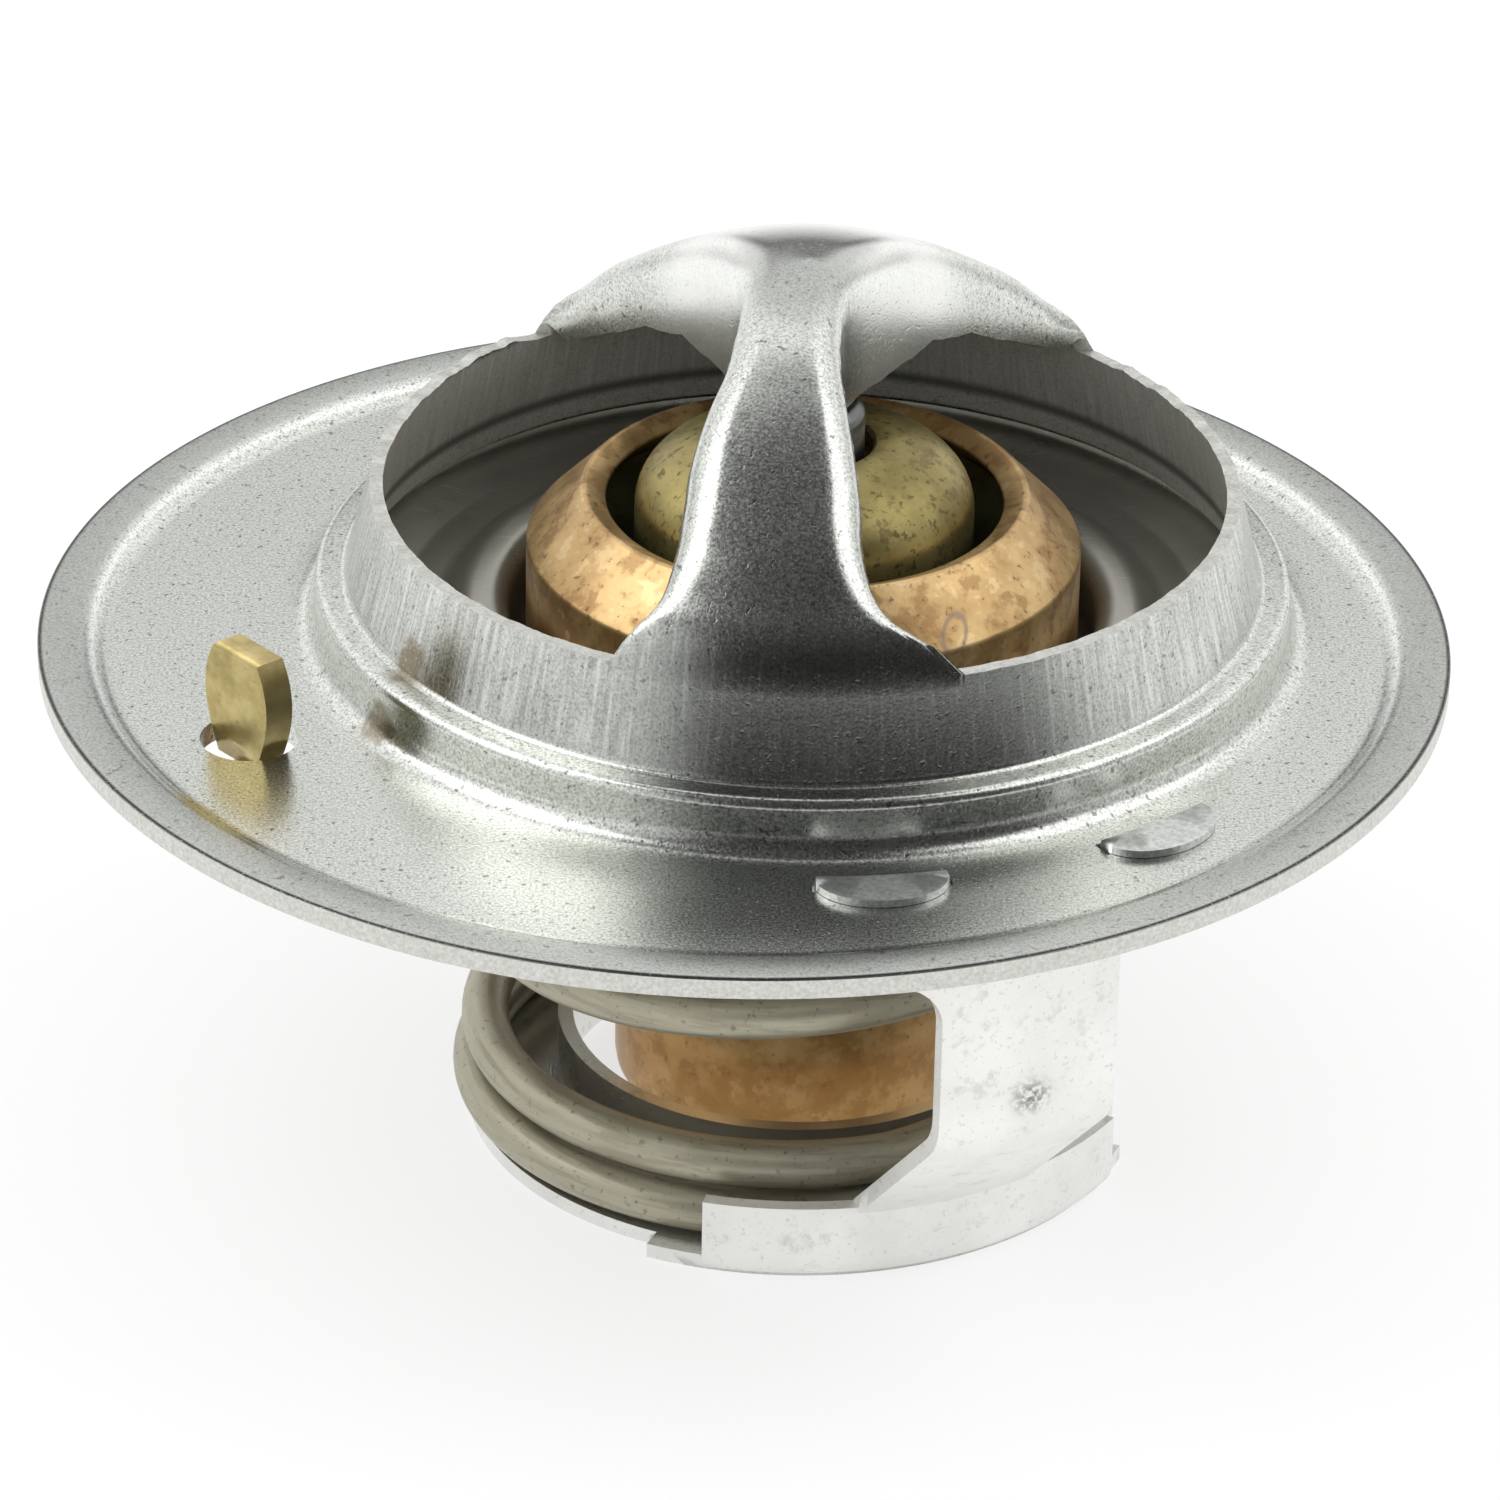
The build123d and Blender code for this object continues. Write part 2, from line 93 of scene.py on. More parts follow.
def rounded(corners, segments=6):
    """Outline through (radius, height, corner radius) corners, each corner turned on an arc."""
    line = []
    for i, (r, z, bend) in enumerate(corners):
        here = np.array((r, z))
        if bend == 0 or i in (0, len(corners) - 1):
            line.append(tuple(here))
            continue
        before = np.array(corners[i - 1][:2]) - here
        after = np.array(corners[i + 1][:2]) - here
        before, after = before / hypot(*before), after / hypot(*after)
        half = np.arccos(np.clip(before @ after, -1, 1)) / 2
        reach = bend / np.tan(half)
        middle = here + (before + after) / hypot(*(before + after)) * bend / sin(half)
        start, end = here + before * reach - middle, here + after * reach - middle
        sweep = pi - 2 * half
        side = np.sign(start[0] * end[1] - start[1] * end[0])
        for k in range(segments + 1):
            a = side * sweep * k / segments
            spoke = (start[0] * cos(a) - start[1] * sin(a), start[0] * sin(a) + start[1] * cos(a))
            line.append(tuple(middle + spoke))
    return line


def weld(mesh, turn_out=True):
    """Join the points of a mesh that coincide, and turn its faces outward."""
    work = bmesh.new()
    work.from_mesh(mesh)
    bmesh.ops.remove_doubles(work, verts=work.verts, dist=1e-6)
    if turn_out:
        bmesh.ops.recalc_face_normals(work, faces=work.faces)
    work.to_mesh(mesh)
    work.free()


def shade(mesh, sharp):
    """Shade a mesh smooth, but for edges sharper than an angle in degrees."""
    mesh.set_sharp_from_angle(angle=radians(sharp))
    for polygon in mesh.polygons:
        polygon.use_smooth = True


def new_object(name, data):
    """Object in the scene that shows this data."""
    made = bpy.data.objects.new(name, data)
    bpy.context.scene.collection.objects.link(made)
    return made


def make_object(name, points, faces, sharp=35, edge_from=None):
    """Mesh object from points in millimetres about the valve axis, shaded smooth.

    Faces from number edge_from on take the second material.
    """
    mesh = bpy.data.meshes.new(name)
    moved = np.asarray(points, float) + (axis_x, axis_y, flange_z)
    mesh.from_pydata((moved * MM).tolist(), [], faces)
    if edge_from is not None:
        for polygon in mesh.polygons[edge_from:]:
            polygon.material_index = 1
    weld(mesh)
    shade(mesh, sharp)
    return new_object(name, mesh)


def applied(piece):
    """Turn the piece's live modifiers into plain mesh."""
    graph = bpy.context.evaluated_depsgraph_get()
    mesh = bpy.data.meshes.new_from_object(piece.evaluated_get(graph))
    piece.modifiers.clear()
    piece.data = mesh
    return piece


def ragged(place):
    """Unevenness of a torn edge, about -1 to 1, along a place in millimetres."""
    return 0.5 * np.sin(place * 2.3) + 0.3 * np.sin(place * 5.1 + 1) + 0.2 * np.sin(place * 12 + 2)


def bridge_sheet(inset, columns_across=41, places_along=161):
    """Grid over the bridge, moved inward by inset: skirt, top and skirt, each from sill to sill."""
    edge_points, dome_points, line_points, line_end = 900, 1500, 1800, 20.5
    corner_fade, skirt_ramp, skirt_tear = 3.2, 1.8, 0.07
    left, right = smooth(left_edge, edge_points), smooth(right_edge, edge_points)
    left[:, 0] += inset
    right[:, 0] -= inset
    curve = smooth(dome, dome_points)
    slope = np.gradient(curve, axis=0)
    slope /= np.hypot(*slope.T)[:, None]
    curve = curve + np.stack([-slope[:, 1], slope[:, 0]], 1) * inset
    sill = sill_radius - inset * sheet_slant
    curve[0] = sill, sill_height
    curve = curve[::-1]
    y_line = np.linspace(-line_end, line_end, line_points)
    x_left = np.interp(y_line, left[:, 1], left[:, 0])
    x_right = np.interp(y_line, right[:, 1], right[:, 0])
    edges = np.concatenate([left, right])
    columns = []
    for u in 0.5 - 0.5 * np.cos(np.linspace(0, pi, columns_across)):
        x = x_left + (x_right - x_left) * u
        inside = np.flatnonzero(np.hypot(x, y_line) < sill)
        y = np.linspace(y_line[inside[0]], y_line[inside[-1]], places_along)
        column = np.stack([np.interp(y, y_line, x), y], 1)
        for end in (0, -1):
            column[end] *= sill / hypot(*column[end])
        columns.append(column)
    top = np.array(columns)
    radius = np.hypot(top[..., 0], top[..., 1])
    height = np.maximum(np.interp(radius, curve[:, 0], curve[:, 1]), sill_height)
    from_edge = np.array([[np.min(np.hypot(edges[:, 0] - x, edges[:, 1] - y))
                           for x, y in column] for column in top])
    fade = np.clip((sill - radius) / corner_fade, 0, 1)
    bend = (edge_bend - inset) * fade * (2 - fade)
    near = np.clip(bend - from_edge, 0, bend)
    height -= bend - np.sqrt(np.maximum(bend ** 2 - near ** 2, 0))
    top = np.dstack([top, height])
    sides = []
    for column, out in ((top[0], radius[0]), (top[-1], radius[-1])):
        ramp = np.clip((sill - out) / skirt_ramp, 0, 1)
        low = np.interp(column[:, 1], *np.array(skirt_low).T) + skirt_tear * ragged(column[:, 1])
        depth = np.maximum(column[:, 2] - low, 0.05) * ramp * ramp * (3 - 2 * ramp)
        sides.append([column - np.outer(depth * k / skirt_steps, (0, 0, 1))
                      for k in range(skirt_steps + 1)])
    return np.array(sides[0][:0:-1] + list(top) + sides[1][1:])


def two_sided(outer, inner, faces):
    """Closed sheet from the points of its two sides, which are joined round each free edge."""
    places = {}
    same = [places.setdefault(tuple(np.round(point, 3)), k) for k, point in enumerate(outer)]
    kept, free = [], {}
    for face in faces:
        face = list(dict.fromkeys(same[k] for k in face))
        if len(face) > 2:
            kept.append(face)
            for a, b in zip(face, face[1:] + face[:1]):
                pair = frozenset((a, b))
                free[pair] = None if pair in free else (b, a)
    base = len(outer)
    closed = kept + [[base + k for k in face[::-1]] for face in kept]
    edge_from = len(closed)
    closed += [(a, b, base + b, base + a) for a, b in filter(None, free.values())]
    return [*outer, *inner], closed, edge_from


# The rim is (radius, height above, height below) about the flange's own centre. The collar, ledge
# and wall are (radius, height, bend radius) about the valve axis, on the outer and the inner side.
rim = [(32.0, 0.47, -0.40), (31.93, 0.53, -0.44), (31.7, 0.55, -0.45), (31.0, 0.55, -0.45),
       (30.1, 0.55, -0.45), (29.85, 0.50, -0.47), (29.5, 0.28, -0.70), (29.2, 0.06, -0.95),
       (28.95, 0.0, -1.0), (28.7, 0.0, -1.0)]
outer_side = rounded([(24.2, 0, 0), (22.2, 0, 1.1), (22.2, ledge_height, 0.45),
                      (20.85, ledge_height, 0.35), (19.85, 6.43, 0),
                      (sill_radius, sill_height, 0)], segments=5)
inner_side = rounded([(24.2, -1, 0), (21.2, -1, 2.0), (21.2, ledge_height - 1, 0.2),
                      (20.3, ledge_height - 1, 0.3), (19.23, 6.43, 0),
                      (sill_radius - drawn_sheet * sheet_slant, sill_height, 0)], segments=5)
outer_bridge, inner_bridge = bridge_sheet(0.0), bridge_sheet(drawn_sheet)

# The wall's columns of points stand at the end points of the bridge, outer and inner, and evenly
# along the sills of the two windows.
feet = []
for k in range(skirt_steps, len(outer_bridge) - skirt_steps):
    for end in (0, -1):
        ends = outer_bridge[k][end], inner_bridge[k][end]
        feet.append([atan2(p[0], -p[1]) % (2 * pi) for p in ends] + [True])
front_turns = [a for a, _, _ in feet if abs(a - pi) > 2]
rear_turns = [a for a, _, _ in feet if abs(a - pi) < 2]
front_left = min(a for a in front_turns if a > pi)
front_right = max(a for a in front_turns if a < pi)
clear, around = 0.004, 540
plain = [[a, a, False] for a in np.linspace(0, 2 * pi, around + 1)[:-1]
         if front_right + clear < a < min(rear_turns) - clear
         or max(rear_turns) + clear < a < front_left - clear]
columns = sorted(feet + plain)
offset, plate_steps = hypot(axis_x, axis_y), 10
front_tear, rear_tear, burr_turn, burr_width, burr_height = 0.04, 0.10, 4.0, 0.5, 0.35


def about_axis(turn, radius, height):
    """Point about the valve axis; turns count from the front towards +X."""
    return radius * sin(turn), -radius * cos(turn), height


def from_axis(turn, radius):
    """Distance from the valve axis to a circle about the flange's own centre."""
    along = axis_y * cos(turn) - axis_x * sin(turn)
    return along + sqrt(along ** 2 - offset ** 2 + radius ** 2)


def sill_tear(turn):
    """Height of the torn sill above a plain one: ragged all along, with a burr at the rear left."""
    corner = min(abs(turn - foot) for foot, _, _ in feet) * sill_radius
    torn = (front_tear + rear_tear * max(0.0, -cos(turn))) * ragged(turn * sill_radius)
    burr = burr_height * max(0.0, 1 - abs(turn - burr_turn) / burr_width)
    return (torn + burr * min(1.0, corner / 1.5)) * min(1.0, corner / 2.0)


def wall_column(turn, side, profile, foot):
    """Points from the rim to the top of the wall, on the outer side (1) or the inner (2)."""
    line = [(from_axis(turn, level[0]), level[side]) for level in rim]
    edge, low = line[-1]
    line += [(edge + (profile[0][0] - edge) * k / plate_steps, low)
             for k in range(1, plate_steps)]
    line += profile
    if not foot:
        line[-1] = line[-1][0], sill_height + sill_tear(turn)
    return [about_axis(turn, radius, height) for radius, height in line]


def grid_faces(first, wide, long, closed):
    """Quads over wide columns of long points each; closed joins the last to the first."""
    return [(first + i * long + k, first + (i + 1) % wide * long + k,
             first + (i + 1) % wide * long + k + 1, first + i * long + k + 1)
            for i in range(wide if closed else wide - 1) for k in range(long - 1)]


outer = [p for a, _, foot in columns for p in wall_column(a, 1, outer_side, foot)]
inner = [p for _, a, foot in columns for p in wall_column(a, 2, inner_side, foot)]
faces = grid_faces(0, len(columns), len(outer) // len(columns), closed=True)
faces += grid_faces(len(outer), *outer_bridge.shape[:2], closed=False)
outer += outer_bridge.reshape(-1, 3).tolist()
inner += inner_bridge.reshape(-1, 3).tolist()
points, faces, edge_from = two_sided(outer, inner, faces)
stamping_sharp = 38
stamping = make_object("stamping", points, faces, stamping_sharp, edge_from)
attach(stamping, "housing")
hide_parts("bridge_flange")


def cut(piece, cutter):
    """Cut a hole through a piece and remove the cutter."""
    hole = piece.modifiers.new("hole", "BOOLEAN")
    hole.operation = "DIFFERENCE"
    hole.solver = "EXACT"
    hole.object = cutter
    applied(piece)
    bpy.data.objects.remove(cutter)


# Four slots for the frame's tabs, two by each leg, and the hole of the jiggle pin.
cutter_heights = (-3.0, 3.0)
leg_turn, slot_offset, slot_half = 23.4, 15.2, radians(6.95)
slot_radii, slot_steps = (24.35, 25.35), 12
for slot_turn in [leg_turn + turn + side for turn in (0, 180)
                  for side in (-slot_offset, slot_offset)]:
    ring, quads = [], []
    for k in range(slot_steps + 1):
        t = radians(slot_turn) - slot_half + 2 * slot_half * k / slot_steps
        ring += [about_axis(t, r, h) for r in slot_radii for h in cutter_heights]
    for b in range(0, 4 * slot_steps, 4):
        c = b + 4
        quads += [(b, b + 1, c + 1, c), (b + 2, c + 2, c + 3, b + 3), (b, c, c + 2, b + 2),
                  (b + 1, b + 3, c + 3, c + 1)]
    quads += [(0, 2, 3, 1), (c, c + 1, c + 3, c + 2)]
    cut(stamping, make_object("slot", ring, quads))
pin_x, pin_y, hole_radius, hole_sides = -24.4, -12.5, 2.2, 48
ring = []
for k in range(hole_sides):
    t = 2 * pi * k / hole_sides
    ring += [(pin_x + hole_radius * cos(t), pin_y + hole_radius * sin(t), h)
             for h in cutter_heights]
total = 2 * hole_sides
quads = [(b, (b + 2) % total, (b + 3) % total, b + 1) for b in range(0, total, 2)]
quads += [tuple(range(0, total, 2))[::-1], tuple(range(1, total, 2))]
cut(stamping, make_object("pin_hole", ring, quads))
shade(stamping.data, stamping_sharp)


class Wire:
    """A shader socket that can be used in Python expressions."""

    def __init__(self, tree, socket):
        self.tree, self.socket = tree, socket

    def node(self, kind, settings=(), values=(), output=0):
        """Add a node, with its settings first and then its sockets' values or links."""
        made = self.tree.nodes.new("ShaderNode" + kind)
        for name, value in dict(settings).items():
            setattr(made, name, value)
        for name, value in dict(values).items():
            if isinstance(value, Wire):
                self.tree.links.new(value.socket, made.inputs[name])
            else:
                made.inputs[name].default_value = value
        return Wire(self.tree, made.outputs[output])

    def maths(self, operation, *others):
        """A Math node on this and the other values."""
        return self.node("Math", {"operation": operation}, dict(enumerate((self, *others))))

    def __add__(self, other):
        return self.maths("ADD", other)

    def __sub__(self, other):
        return self.maths("SUBTRACT", other)

    def __mul__(self, other):
        return self.maths("MULTIPLY", other)

    def __rsub__(self, other):
        return self * -1 + other

    __radd__, __rmul__ = __add__, __mul__

    def step(self, low, high):
        """0 below low, 1 above high, smooth between; low above high turns it round."""
        return self.node("MapRange", {"interpolation_type": "SMOOTHSTEP"},
                         {"Value": self, "From Min": low, "From Max": high})

    def near(self, value, width):
        """1 at a value, falling to 0 a width away."""
        return (self - value).maths("ABSOLUTE").step(width, 0.0)

    def noise(self, scale, detail, rough, stretch=(1, 1, 1)):
        """Noise at this position, 0 to 1 and mostly near 0.5."""
        place = self.node("Mapping", {}, {"Vector": self, "Scale": stretch})
        return self.node("TexNoise", {}, {"Vector": place, "Scale": scale, "Detail": detail,
                                          "Roughness": rough})

    def mix(self, low, high):
        """Colour low where this is 0 and high where it is 1; a Mix node's colours are 6 and 7."""
        return self.node("Mix", {"data_type": "RGBA"}, {0: self, 6: low, 7: high}, 2)

    def bumps(self, strength, depth):
        """Normal of a surface with this as its height, depth metres deep."""
        return self.node("Bump", {}, {"Height": self, "Strength": strength, "Distance": depth})

    def split(self):
        """X, y and z of this position."""
        return [self.node("SeparateXYZ", {}, {"Vector": self}, axis) for axis in "XYZ"]


def rgb(*colour):
    """Opaque colour."""
    return (*colour, 1.0)


def distance(*parts):
    """Length of a vector with these parts."""
    total = parts[0] * parts[0]
    for part in parts[1:]:
        total = total + part * part
    return total.maths("SQRT")


def finish(piece, name, build, more=False):
    """Give a piece a material; build sets it from position about the valve axis in metres.

    The material takes the place of all others, or with more is added after them.
    """
    material = bpy.data.materials.new(name)
    material.use_nodes = True
    tree = material.node_tree
    shader = tree.nodes["Principled BSDF"]
    start = Wire(tree, None)
    place = start.node("TexCoord", output="Object")
    place = place.node("Mapping", {}, {"Vector": place, "Location":
                                       (-axis_x * MM, -axis_y * MM, -flange_z * MM)})
    for socket, value in build(place).items():
        if isinstance(value, Wire):
            tree.links.new(value.socket, shader.inputs[socket])
        else:
            shader.inputs[socket].default_value = value
    if not more:
        kept = [polygon.material_index for polygon in piece.data.polygons]
        piece.data.materials.clear()
        piece.data.polygons.foreach_set("material_index", kept)
    piece.data.materials.append(material)


def polar(place):
    """X, y, z, radius and azimuth from the front of a position, in metres and radians."""
    x, y, z = place.split()
    return x, y, z, distance(x, y), x.maths("ARCTAN2", y * -1)


def steel(place):
    """Speckled drawn steel, scored on the wall, with painted shade in front on the wall and painted
    highlight on the flange's bead.
    """
    x, y, z, radius, angle = polar(place)
    off_axis = distance(x + axis_x * MM, y + axis_y * MM)
    cloud = place.noise(110, 4, 0.6)
    mottle = place.noise(1500, 3, 0.7)
    pits = place.noise(3000, 2, 0.55)
    grain = place.noise(7600, 2, 0.6)
    base = cloud.mix(rgb(0.60, 0.62, 0.58), rgb(0.72, 0.74, 0.69))
    base = (grain.step(0.50, 0.62) * 0.6).mix(base, rgb(0.92, 0.93, 0.89))
    base = (grain.step(0.47, 0.36) * 0.6).mix(base, rgb(0.30, 0.31, 0.29))
    base = (mottle.step(0.55, 0.70) * 0.35).mix(base, rgb(0.40, 0.41, 0.385))
    base = (pits.step(0.645, 0.70) * 0.75).mix(base, rgb(0.16, 0.16, 0.15))

    wall = z.step(ledge_height * MM, 3.0 * MM) * z.step(9.5 * MM, 7.5 * MM)
    front = (angle - 0.13).maths("ABSOLUTE").step(0.62, 0.30)
    painted_flank_highlight = z.step(7.5 * MM, 11 * MM) * y.step(-2 * MM, 2 * MM) * y.step(9.5 * MM, 6.5 * MM)
    painted_apex_shade = z.step(16.9 * MM, 17.8 * MM)
    base = (wall * 0.32).mix(base, rgb(0.36, 0.37, 0.35))
    # Painted highlight: the bridge's rear flanks, which face the light, are painted near white.
    base = (painted_flank_highlight * 0.7).mix(base, rgb(0.97, 0.98, 0.95))
    # Painted shade: the wall's front is painted nearly black, standing in for the dark room it
    # reflects.
    base = (front * wall * 0.7).mix(base, rgb(0.13, 0.135, 0.125))
    # Painted shade: the top of the bridge is painted darker, standing in for the dim room it
    # reflects.
    base = (painted_apex_shade * 0.5).mix(base, rgb(0.22, 0.225, 0.21))

    upright = angle.node("CombineXYZ", {}, {0: angle * 0.02, 1: z * 0.05})
    marks = upright.noise(3600, 3, 0.65)
    scored = z.step(2.7 * MM, 3.4 * MM) * radius.step(16.5 * MM, 18.5 * MM) * (1 - front * 0.75)
    base = (marks.step(0.50, 0.66) * scored * 0.45).mix(base, rgb(0.95, 0.96, 0.94))
    base = (marks.step(0.47, 0.36) * scored * 0.4).mix(base, rgb(0.27, 0.28, 0.27))

    band = off_axis.step(29.7 * MM, 30.2 * MM)
    # Painted highlight: a bright line is painted along the step inside the flange's raised rim.
    painted_bead_highlight = off_axis.near(29.62 * MM, 0.22 * MM) * grain.step(0.30, 0.55)
    # Painted shade: the rim's outer top corner is painted almost black, as a thin dark line of
    # shade.
    corner = off_axis.near(31.90 * MM, 0.17 * MM) * z.step(0.2 * MM, 0.4 * MM)
    edge = off_axis.step(31.85 * MM, 31.95 * MM) * z.step(0.42 * MM, 0.36 * MM)
    edge_grain = grain.step(0.35, 0.65).mix(rgb(0.08, 0.07, 0.055), rgb(0.40, 0.375, 0.32))
    base = (band * 0.45).mix(base, rgb(0.34, 0.35, 0.33))
    base = (painted_bead_highlight * 0.8).mix(base, rgb(0.95, 0.96, 0.94))
    base = (corner * grain.step(0.28, 0.42)).mix(base, rgb(0.03, 0.03, 0.03))
    base = edge.mix(base, edge_grain)

    blot = place.noise(700, 4, 0.75)
    for stain_x, stain_y, stain_z, size in stains:
        far = distance(x - stain_x * MM, y - stain_y * MM, z - stain_z * MM)
        spot = (far + (blot - 0.5) * 2.4 * MM).step(size * MM, 0.35 * size * MM)
        base = (spot * grain.step(0.26, 0.5) * 0.85).mix(base, rgb(0.22, 0.165, 0.09))

    lean = (z - ledge_height * MM) * 0.26
    inside = (radius + lean).step(20.60 * MM, 20.45 * MM) * z.step(7.4 * MM, 7 * MM)
    # Painted shade: a dark line is painted along the inner fold at the ledge.
    painted_crease_shade = z.near(3.0 * MM, 0.55 * MM) * inside
    base = (inside * 0.5).mix(base, rgb(0.42, 0.42, 0.39))
    base = (painted_crease_shade * 0.8).mix(base, rgb(0.06, 0.06, 0.055))
    height = grain * 0.6 + marks * scored - pits.step(0.64, 0.70)
    rough = grain * 0.14 + cloud * 0.10 + band * 0.08 + inside * 0.15 + edge * 0.3 + 0.12
    return {"Base Color": base, "Metallic": 1 - inside * 0.7 - edge * 0.5, "Roughness": rough,
            "Normal": height.bumps(0.14, 0.00005)}


def torn_steel(place):
    """Sheared and torn edges: bright, with a coarse grain."""
    grain = place.noise(5200, 3, 0.65)
    base = grain.mix(rgb(0.34, 0.34, 0.31), rgb(0.88, 0.88, 0.83))
    return {"Base Color": base, "Metallic": 0.7, "Roughness": 0.38,
            "Normal": grain.bumps(0.4, 0.00008)}


stains = [(-17.3, -11.4, 3.1, 1.6), (-18.6, -12.2, 0.7, 1.35)]  # x, y, z and size
finish(stamping, "drawn_steel", steel)
finish(stamping, "torn_edge", torn_steel, more=True)

# Valve disc: 0.8 mm steel, pressed with a raised ring round a well. The element's shoulder rests
# in the well and the spring pushes from below, so that the disc's turned-up rim closes on the
# ledge of the stamping. Dark from heat.


def turned(name, outline, segments=288):
    """Round piece from a closed (radius, height) outline, spun about the valve axis."""
    n = len(outline)
    points = [about_axis(2 * pi * k / segments, r, z)
              for k in range(segments) for r, z in outline]
    faces = []
    for k in range(segments):
        j = (k + 1) % segments
        for i in range(n):
            m = (i + 1) % n
            if outline[i][0] == outline[m][0] == 0:
                continue
            quad = [k * n + i, j * n + i, j * n + m, k * n + m]
            if outline[i][0] == 0:
                quad.remove(j * n + i)
            if outline[m][0] == 0:
                quad.remove(j * n + m)
            faces.append(tuple(quad))
    return make_object(name, points, faces)


def sheet_outline(path, thickness):
    """Closed outline of a sheet below a rounded path."""
    line = np.array(rounded(path))
    tangent = np.gradient(line, axis=0)
    tangent /= np.hypot(*tangent.T)[:, None]
    below = line + np.stack([tangent[:, 1], -tangent[:, 0]], 1) * thickness
    return [tuple(p) for p in line] + [tuple(p) for p in below[::-1]]


well_floor, disc_sheet = -1.92, 0.8
disc_path = [(8.4, well_floor, 0), (13.35, well_floor, 0.85), (13.35, 1.35, 1.0),
             (15.3, 1.35, 1.2), (16.5, 0.55, 1.2), (18.25, 0.55, 1.2), (20.85, 1.3, 0)]
disc = turned("poppet", sheet_outline(disc_path, disc_sheet))
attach(disc, "valve")
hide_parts("valve_disc")


def dark_steel(place):
    """Brown-grey steel with faint turned rings and a few scratches."""
    radius = polar(place)[3]
    cloud = place.noise(220, 4, 0.6)
    fine = place.noise(2600, 3, 0.6)
    rings = (radius * 5200 + cloud * 3).maths("SINE")
    base = cloud.mix(rgb(0.36, 0.35, 0.31), rgb(0.52, 0.51, 0.46))
    base = fine.step(0.62, 0.74).mix(base, rgb(0.40, 0.39, 0.37))
    scratch = place.noise(700, 2, 0.5, (1, 9, 1)).step(0.66, 0.70)
    base = (scratch * 0.6).mix(base, rgb(0.62, 0.61, 0.58))
    return {"Base Color": base, "Metallic": 0.9, "Roughness": cloud * 0.15 + 0.22,
            "Normal": (rings * 0.3 + fine).bumps(0.15, 0.00004)}


finish(disc, "heat_darkened_steel", dark_steel)

# Wax element: a deep-drawn copper cup whose wide head is rolled in over the guide's shoulder.
# Copper, tarnished brown low down, with a bright rolled bevel.

cup = turned("copper_cup", rounded(
    [(0, -24.0, 0), (8.3, -24.0, 1.6), (8.3, -1.9, 0.3), (12.6, -1.9, 0.6), (12.6, 4.1, 0.35),
     (10.05, 6.72, 0.3), (8.9, 6.2, 0.15), (11.7, 3.4, 0), (11.7, -1.0, 0.2), (7.4, -1.0, 0.2),
     (7.4, -23.1, 0.7), (0, -23.1, 0)], segments=5))
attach(cup, "valve")
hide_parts("element_cup")


def copper(place):
    """Tarnished copper: mottled, with a ring-shaped mark on the bevel and orange low down."""
    x, y, z = place.split()
    cloud = place.noise(260, 4, 0.62)
    blotch = place.noise(620, 4, 0.65)
    fine = place.noise(2500, 3, 0.6)
    bevel = z.step(3.6 * MM, 4.4 * MM)
    base = cloud.step(0.38, 0.62).mix(rgb(0.40, 0.235, 0.09), rgb(0.68, 0.46, 0.21))
    base = (bevel * 0.4).mix(base, rgb(0.66, 0.47, 0.23))
    base = (blotch.step(0.50, 0.62) * 0.65).mix(base, rgb(0.30, 0.165, 0.065))
    base = (blotch.step(0.44, 0.36) * 0.5).mix(base, rgb(0.80, 0.60, 0.34))
    base = (fine.step(0.62, 0.70) * 0.7).mix(base, rgb(0.14, 0.08, 0.04))
    mark = distance((x - 6.7 * MM) * 1.2, z - 4.6 * MM).near(0.62 * MM, 0.2 * MM)
    base = (mark * y.step(0, -5 * MM) * bevel * 0.7).mix(base, rgb(0.22, 0.17, 0.15))
    low = z.step(-14 * MM, -19 * MM)
    base = (low * 0.4).mix(base, rgb(0.62, 0.33, 0.10))
    return {"Base Color": base, "Metallic": 0.8, "Roughness": cloud * 0.2 + 0.25,
            "Normal": (fine + blotch).bumps(0.2, 0.00005)}


finish(cup, "tarnished_copper", copper)

# Guide: turned brass, clamped in the cup's head. Its domed nose has the bore that the piston
# runs in. Dull olive gold and pitted; painted shade darkens the deep groove round its foot.

nose = [(3.3 + 4.4 * sin(t), 5.9 + 3.25 * cos(t)) for t in np.linspace(pi / 2, 0.06, 14)]
shoulder = [(2.7, 8.0), (2.7, -0.08), (11.66, -0.08), (11.66, 3.35), (10.05, 4.96), (7.75, 2.8)]
mouth = [(3.2, 9.13), (3.05, 8.95), (3.05, 8.0)]
brass_guide = turned("brass_guide", shoulder + nose + mouth)
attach(brass_guide, "valve")
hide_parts("guide")


def brass(place):
    """Dull olive brass, pitted, with painted shade in the groove round its foot."""
    z, radius = polar(place)[2:4]
    cloud = place.noise(330, 4, 0.62)
    fine = place.noise(2300, 3, 0.6)
    base = cloud.step(0.3, 0.7).mix(rgb(0.22, 0.175, 0.06), rgb(0.40, 0.33, 0.13))
    base = (fine.step(0.57, 0.66) * 0.75).mix(base, rgb(0.09, 0.065, 0.025))
    base = (place.noise(1000, 4, 0.7).step(0.54, 0.66) * 0.7).mix(base, rgb(0.15, 0.12, 0.045))
    # Painted shade: the deep groove round the guide's foot, under the cup's mouth, is painted
    # nearly black.
    foot = z.step(5.8 * MM, 4.6 * MM) * radius.step(6.0 * MM, 7.4 * MM)
    base = (foot * 0.85).mix(base, rgb(0.035, 0.05, 0.035))
    return {"Base Color": base, "Metallic": 0.85, "Roughness": cloud * 0.2 + 0.30,
            "Normal": (fine + cloud).bumps(0.25, 0.00006)}


finish(brass_guide, "dull_brass", brass)

# Piston: ground steel pin that stands in the rubber boot. Its thin tip bears on the crown of the
# bridge and stays there while the element slides down it.

